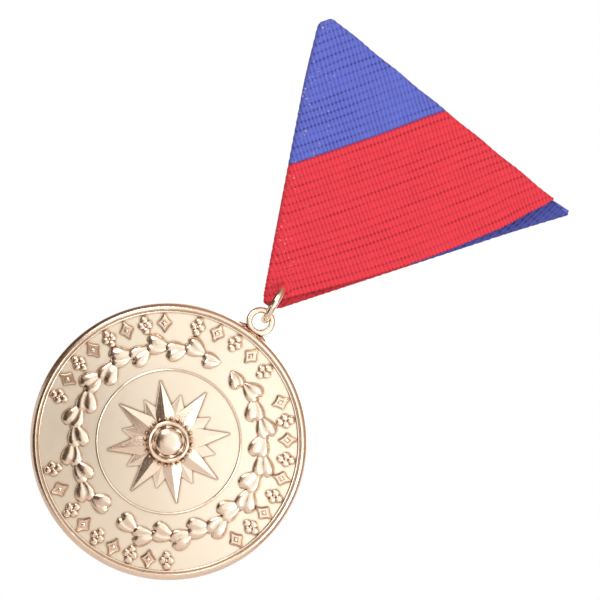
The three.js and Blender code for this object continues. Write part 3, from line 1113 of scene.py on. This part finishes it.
def clearedBeyond(bm, foot, outward):
    everything = list(bm.verts) + list(bm.edges) + list(bm.faces)
    bmesh.ops.bisect_plane(
        bm, geom=everything, dist=0.001, plane_co=(foot.x, foot.y, 0),
        plane_no=(outward.x, outward.y, 0), clear_outer=True,
    )


def cutStrip(bm):
    make = ribbonMake
    top = make["topFold"]["height"]
    allowance = make["topFold"]["radius"] * (math.pi - 2)
    clearedBeyond(bm, Vector((0, top + make["hem"] + allowance)), Vector((0, 1)))
    hemOut = Vector((rightOut.x, -rightOut.y))
    foot = rightFoot + rightOut * make["hemEnd"]
    hemFoot = Vector((foot.x, 2 * top - foot.y))
    beyond = [face for face in bm.faces if face.calc_center_median().y > top + 0.2
              and (face.calc_center_median().to_2d() - hemFoot).dot(hemOut) > 0]
    bmesh.ops.delete(bm, geom=beyond, context="FACES")
    unfolded = []
    for point in (*make["rearCut"], (0, 10)):  # the cut's two ends and a point inside it
        point = mirrored(Vector(point), rightFoot, rightOut)
        unfolded.append(mirrored(point, leftFoot, leftOut))
    first, second, inside = unfolded
    run = (second - first).normalized()
    outward = Vector((run.y, -run.x))
    if (inside - first).dot(outward) > 0:
        outward = -outward
    clearedBeyond(bm, first, outward)


clothLook = {
    "rib": ribbonMake["rib"],
    "row": ribbonMake["row"],
    "boundary": 18.0,
    "blur": 0.12,  # of the boundary, to each side
    "teeth": 0.09,  # how far each rib's colour reaches over the boundary
    "seam": (0.05, 0.3, 0.7, 0.0),
    "groovePower": 0.8,
    "line": (3.0, 0.42),  # how narrow the fine lines are, and how dark
    "pit": (2.2, 0.04),
    "streak": (0.42, 0.62),
    "streakShade": (0.4, 0.45),
    "between": (0.3, 0.75, 0.12, 0.45),  # shade between the ribs
    "glint": (0.52, 0.8, 0.0, 0.6),
    # painted glints: white spots in patches near the left fold
    "glintSpot": (0.64, 0.69),
    "glintPatches": (0.45, 0.65),
    "glintReach": (0.006, 0.001),  # metres in from the left fold
    "glintColour": (1.0, 0.96, 0.97, 1),
    "red": (0.86, 0.042, 0.07, 1),
    "redDeep": (0.36, 0.01, 0.02, 1),
    "redLight": (0.96, 0.17, 0.2, 1),
    "blue": (0.125, 0.17, 0.7, 1),
    "blueDeep": (0.025, 0.028, 0.2, 1),
    "blueLight": (0.36, 0.4, 0.86, 1),
}


def clothMaterial(name, depth):
    look = clothLook
    material, make, shader = newMaterial(name, look["red"][:3], 0.62)
    weave = make.add("UVMap", uv_map="cloth").outputs["UV"]
    parts = make.add("SeparateXYZ")
    make.join(weave, parts.inputs[0])
    across, along = parts.outputs[:2]
    rib = make.times(along, 2 * math.pi / look["rib"])
    cord = make.timesPlus(make.math("COSINE", rib), 0.5, 0.5)
    row = make.math("SINE", make.times(across, math.pi / look["row"]))
    gapAcross = make.math("SUBTRACT", 1.0, make.math("ABSOLUTE", row))
    groove = make.math("POWER", gapAcross, look["groovePower"])
    lineWidth, lineDepth = look["line"]
    line = make.math("POWER", gapAcross, lineWidth)
    stretched = make.add("Mapping")
    stretched.inputs["Scale"].default_value = (1.0, 0.12, 1.0)
    make.join(weave, stretched.inputs["Vector"])
    streak = make.spread(make.noise(stretched.outputs[0], 1.3, 2.0, 0.5), *look["streak"])
    fibre = make.noise(weave, 0.16, 3.0, 0.7)
    uneven = make.noise(weave, 2.4, 3.0, 0.6)
    gap = make.math("SUBTRACT", 1.0, cord)
    pitWidth, pitLeast = look["pit"]
    pit = make.timesPlus(make.math("POWER", gap, pitWidth), 1.0, pitLeast)
    pit = make.math("ADD", make.times(groove, pit), make.times(line, lineDepth))
    pit = make.times(pit, make.timesPlus(streak, *look["streakShade"]))
    between = make.times(gap, make.spread(uneven, *look["between"]))
    dark = make.math("MINIMUM", make.math("MAXIMUM", pit, between), 1.0)
    edge = make.timesPlus(make.math("SINE", rib), look["teeth"], across)
    boundary = look["boundary"]
    isRed = make.spread(edge, boundary - look["blur"], boundary + look["blur"])
    offset = make.math("ABSOLUTE", make.math("SUBTRACT", edge, boundary))
    seam = make.spread(offset, *look["seam"])
    thread, shade, bright = (
        make.mix(isRed, look["blue" + tone], look["red" + tone]) for tone in ("", "Deep", "Light"))
    # Painted shade in the weave: its grooves, pits and fine lines and the gaps between ribs darken
    # the thread towards the deep colour; the seam where the colours meet is darkened the same way
    colour = make.mix(make.math("MAXIMUM", dark, seam), thread, shade)
    colour = make.mix(make.times(make.spread(fibre, *look["glint"]), cord), colour, bright)
    # Painted shade: the whole material is darkened towards the deep colour by depth; the darker
    # copy, on the side of the cloth that the rear plies show in front, stands in for their shade
    colour = make.mix(depth, colour, shade)
    # Painted glints: white spots in patches a few millimetres in from the left fold, fewer on the
    # red
    edgeward = make.add("VectorMath", operation="DOT_PRODUCT")
    make.join(make.onObject(), edgeward.inputs[0])
    edgeward.inputs[1].default_value = (leftOut.x, 0, leftOut.y)
    start = (leftOut.x * leftFoot.x + leftOut.y * tipZ) * mm
    far, close = look["glintReach"]
    near = make.spread(edgeward.outputs["Value"], start - far, start - close)
    patchy = make.spread(make.noise(weave, 3.0, 2.0), *look["glintPatches"])
    glintSpot = make.spread(make.noise(weave, 0.34, 1.0), *look["glintSpot"])
    glintSpot = make.times(glintSpot, make.math("SUBTRACT", 1.0, make.times(isRed, 0.6)))
    sparkle = make.times(glintSpot, make.times(near, patchy))
    colour = make.mix(make.times(sparkle, 0.75), colour, look["glintColour"])
    height = make.timesPlus(cord, 0.35, make.times(fibre, 0.45))
    height = make.math("SUBTRACT", height, make.times(pit, 1.1))
    make.surface(shader, colour, height, 0.8, 0.0001)
    shader.inputs["Sheen Weight"].default_value = 0.25
    shader.inputs["Sheen Roughness"].default_value = 0.4
    shader.inputs["Specular IOR Level"].default_value = 0.3
    return material


def buildRibbon():
    make = ribbonMake
    bm = bmesh.new()
    width = make["width"]
    vLow, vHigh = make["flatSpan"]
    acrossCells = round(width / (make["row"] / 4))
    alongCells = round((vHigh - vLow) / (make["rib"] / 2))
    bmesh.ops.create_grid(bm, x_segments=acrossCells, y_segments=alongCells, size=0.5)
    strip = bm.verts.layers.float_vector.new("strip")
    for vert in bm.verts:
        u = (vert.co.x + 0.5) * width
        v = vLow + (vert.co.y + 0.5) * (vHigh - vLow)
        spot = flatPoint(u, v)
        vert.co = (spot.x, spot.y, 0)
        vert[strip] = (u, v, 0)
    cutStrip(bm)
    flatArea = sum(face.calc_area() for face in bm.faces) * mm * mm
    uvs = bm.loops.layers.uv.new("cloth")
    weights = bm.verts.layers.deform.verify()
    for vert in bm.verts:
        offset = Vector((vert.co.x, vert.co.y)).dot(acrossStripe)
        u = offset - make["redSelvage"] + width
        v = Vector((vert.co.x, vert.co.y)).dot(alongStripe)
        vert[strip] = (u, v, 0)
        rib = 0.5 + 0.5 * math.cos(2 * math.pi * v / make["rib"])
        row = abs(math.sin(math.pi * u / make["row"]))
        vert[weights][0] = make["ribDepth"] + (1 - make["ribDepth"]) * (0.3 * rib + 0.7 * row)
        edge = min(u, width - u)
        if edge < 0.01:
            u += (make["flutter"] if u > 1 else -make["flutter"]) * (rib - 0.5)
        point, depth = foldedPoint(u, v)
        vert.co = shaped(point, depth)
    for face in bm.faces:
        for loop in face.loops:
            loop[uvs].uv = loop.vert[strip].xy
    pierced(bm)
    bmesh.ops.recalc_face_normals(bm, faces=bm.faces)
    # Lit and shaded copies of the cloth: the darker one is painted shade on the rear plies
    faces = [clothMaterial("ribbon shaded side", 0.6), clothMaterial("ribbon reverse", 0.03)]
    cloth = finish(bm, "folded_ribbon_cloth", faces, "folded_ribbon")
    cloth.vertex_groups.new(name="rib")
    thick = cloth.modifiers.new("ply", "SOLIDIFY")
    thick.thickness = make["ply"] * mm
    thick.offset = 0
    thick.vertex_group = "rib"
    thick.use_even_offset = False
    thick.material_offset = 1
    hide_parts("ribbon")


buildRibbon()
print("ribbon folded")


# Card, nickel, steel and thread

def cardMaterial():
    material, make, shader = newMaterial("stiffener card", (0.74, 0.68, 0.56), 0.85)
    fibre = make.noise(make.onObject(), 0.0005, 5.0, 0.7)
    colour = make.mix(fibre, (0.62, 0.56, 0.44, 1), (0.82, 0.77, 0.66, 1))
    make.surface(shader, colour, fibre, 0.5, 0.00004)
    return material


metalLook = {
    "brush": (0.25, 0.8),
    "smoothest": 0.75,  # times the roughness, where it is brushed least and most
    "roughest": 1.5,
    "dull": (0.35, 0.75),
    "dullShare": 0.82,
}


def platedMaterial(name, colour, roughness, along):
    material, make, shader = newMaterial(name, colour, roughness, 1.0)
    stretched = make.add("Mapping")
    stretched.inputs["Scale"].default_value = along
    place = make.onObject()
    make.join(place, stretched.inputs["Vector"])
    brushed = make.noise(stretched.outputs[0], 0.0003, 4.0, 0.65)
    ends = (roughness * metalLook["smoothest"], roughness * metalLook["roughest"])
    rough = make.spread(brushed, *metalLook["brush"], *ends)
    make.join(rough, shader.inputs["Roughness"])
    dull = make.noise(place, 0.003, 4.0, 0.6)
    wearAndHollowShade = tuple(part * metalLook["dullShare"] for part in colour)
    shade = make.mix(make.spread(dull, *metalLook["dull"]), (*colour, 1), (*wearAndHollowShade, 1))
    make.surface(shader, shade, brushed, 0.35, 0.00001)
    return material


def threadMaterial():
    material, make, shader = newMaterial("sewing thread", (0.33, 0.02, 0.035), 0.7)
    fibre = make.noise(make.onObject(), 0.00012, 3.0, 0.7)
    colour = make.mix(fibre, (0.2, 0.01, 0.02, 1), (0.5, 0.05, 0.07, 1))
    make.surface(shader, colour, fibre, 0.6, 0.00003)
    shader.inputs["Sheen Weight"].default_value = 0.3
    return material


nickelPlate = platedMaterial("nickel plate", (0.72, 0.71, 0.68), 0.27, (0.15, 1, 1))
needleSteel = platedMaterial("drawn steel", (0.62, 0.62, 0.62), 0.2, (0.08, 1, 1))
threadLook = threadMaterial()
stiffenerCard = cardMaterial()
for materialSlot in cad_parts["ribbon_stiffener"].material_slots:
    materialSlot.material = stiffenerCard


# Brooch: a stamped bar sewn to the ribbon, its hinge, needle and turning lock

broochMake = {
    "barRound": 0.24,
    "holeRadius": 0.37,
    "holeReach": 1.05,  # from a stitch's middle to each of its holes
    "rivet": {"radius": 0.4, "head": 0.8, "headHeight": 0.3, "rim": 0.08, "foot": 0.04},
    "needle": {
        "radius": 0.45, "point": 3.4,
        "stations": (0.8, 1.6, 2.4),  # from the rivet, while it turns from flat to round
        "tip": (0.03, 0.7),
        "flat": (0.7, 2.2),
        "flare": 0.3,
        "bore": 0.5, "eye": 1.1, "eyeHalf": 0.4, "eyeRound": 0.18,
    },
    "edgeRound": 0.09,
    "sharp": 35,  # degrees, edges steeper than this are broken
    "flatWithin": 1.5,  # degrees
    "merge": 0.002,
}
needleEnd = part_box("pin_needle")[1].x / mm
rivetMiddle = middle("hinge_rivet")
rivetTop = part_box("hinge_rivet")[1].z / mm


def buildBar():
    make = broochMake
    bm = bmesh.new()
    size = barHigh - barLow
    outline = roundedOutline(size.x, size.z, size.z / 2 - 0.1, 14)
    holes = []
    for i in range(4):
        x = middle(f"bar_stitch_{i + 1}").x
        for side in (-1, 1):
            holes.append(circlePoints((x + side * make["holeReach"], 0), make["holeRadius"], 24))
    plate(bm, outline, 0, size.y, make["barRound"], holes, 3, both=True)
    turned(bm, bm.verts, "X", 90)
    spot = Vector(((barLow.x + barHigh.x) / 2, barHigh.y, (barLow.z + barHigh.z) / 2))
    moved(bm, bm.verts, spot)
    sharpen(bm, 50)
    bar = finish(bm, "stamped_bar", [nickelPlate], "folded_ribbon")
    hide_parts("brooch_bar")


def buildRivet():
    make = broochMake["rivet"]
    bm = bmesh.new()
    end = rivetTop - rivetMiddle.z
    neck = end - make["headHeight"]
    rim = make["rim"]
    half = [(make["radius"], neck), (make["head"] - make["foot"], neck)]
    for i in range(6):
        angle = math.pi / 2 * i / 6
        rise = rim + (make["headHeight"] - rim) * math.sin(angle)
        half.append((make["head"] * math.cos(angle), neck + rise))
    half.append((0, end))
    profile = [(r, -z) for r, z in reversed(half)] + half
    spun(bm, profile, 32)
    moved(bm, bm.verts, rivetMiddle)
    bmesh.ops.recalc_face_normals(bm, faces=bm.faces)
    sharpen(bm, 40)
    rivet = finish(bm, "domed_rivet", [nickelPlate], "folded_ribbon")
    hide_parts("hinge_rivet")


def buildNeedle():
    make = broochMake["needle"]
    bm = bmesh.new()
    start = rivetMiddle.x
    length = needleEnd - start
    stations = [*make["stations"], length * 0.5, length - make["point"]]
    path = [(start + x, 0, 0) for x in stations]
    radii = [make["radius"]] * len(stations)
    blunt, power = make["tip"]
    for i in range(1, 9):
        share = i / 8
        path.append((start + length - make["point"] * (1 - share), 0, 0))
        radii.append(make["radius"] * max(blunt, (1 - share) ** power))
    shank = tube(bm, path, radii, 20)
    for vert in shank:
        flat = 1 - smoothly(vert.co.x - start, *make["flat"])
        vert.co.z *= 1 - flat * (1 - make["eyeHalf"] / make["radius"])
        vert.co.y *= 1 + flat * make["flare"]
    ring = ringProfile(make["bore"], make["eye"], make["eyeHalf"], make["eyeRound"])
    eye = bmesh.new()
    spun(eye, ring, 48, looped=True)
    moved(eye, eye.verts, (start, 0, 0))
    mesh = meshFrom(eye, "needle eye")
    bm.from_mesh(mesh)
    bpy.data.meshes.remove(mesh)
    bmesh.ops.recalc_face_normals(bm, faces=bm.faces)
    needle = finish(bm, "pointed_needle", [needleSteel], "needle")
    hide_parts("pin_needle")


# A small stamping: the frame's own solid with its edges broken
def buildStamping(node, name, body):
    make = broochMake
    bm = bmesh.new()
    bm.from_mesh(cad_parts[node].data)
    bmesh.ops.scale(bm, vec=(1 / mm, 1 / mm, 1 / mm), verts=bm.verts)
    bmesh.ops.remove_doubles(bm, verts=bm.verts, dist=make["merge"])
    bmesh.ops.dissolve_limit(
        bm, angle_limit=math.radians(make["flatWithin"]), verts=bm.verts, edges=bm.edges,
        use_dissolve_boundaries=False,
    )
    edges = [edge for edge in bm.edges if edge.is_manifold
             and edge.calc_face_angle(0) > math.radians(make["sharp"])]
    rounded(bm, edges, make["edgeRound"], 3)
    sharpen(bm, 40)
    stamping = finish(bm, name, [nickelPlate], body)
    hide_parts(node)


buildBar()
buildRivet()
buildNeedle()
buildStamping("hinge_bracket", "folded_hinge_ears", "folded_ribbon")
buildStamping("catch_body", "catch_cheeks", "folded_ribbon")
buildStamping("lock_barrel", "turning_lock", "lock")
print("brooch made")


# Stitches: loops of two-strand thread through the rear plies

stitchMake = {"strand": 0.085, "twist": 0.09, "turnsPerLoop": 9, "steps": 88}


def buildStitch(node, name):
    make = stitchMake
    low, high = (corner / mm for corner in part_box(node))
    bm = bmesh.new()
    inset = make["strand"] + make["twist"]
    width = high.x - low.x - 2 * inset
    depth = high.y - low.y - 2 * inset
    outline = roundedOutline(width, depth, min(width, depth) * 0.3, 6)
    line = evenly([(x, y, 0) for x, y in outline + outline[:1]], make["steps"] + 1)[:-1]
    centre = (low + high) / 2
    for strand in range(2):
        path = []
        for i, point in enumerate(line):
            phase = 2 * math.pi * make["turnsPerLoop"] * i / make["steps"] + math.pi * strand
            ahead = (line[(i + 1) % len(line)] - line[i - 1]).normalized()
            outward = Vector((ahead.y, -ahead.x, 0))
            offset = outward * math.cos(phase) + Vector((0, 0, math.sin(phase)))
            path.append(centre + point + offset * make["twist"])
        tube(bm, path, make["strand"], 7, closed=True)
    bmesh.ops.recalc_face_normals(bm, faces=bm.faces)
    stitch = finish(bm, name, [threadLook], "folded_ribbon")
    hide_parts(node)


for kind, total in (("bar", 4), ("hem", 5)):
    for number in range(1, total + 1):
        buildStitch(f"{kind}_stitch_{number}", f"{kind}_thread_{number}")
print("stitches sewn")
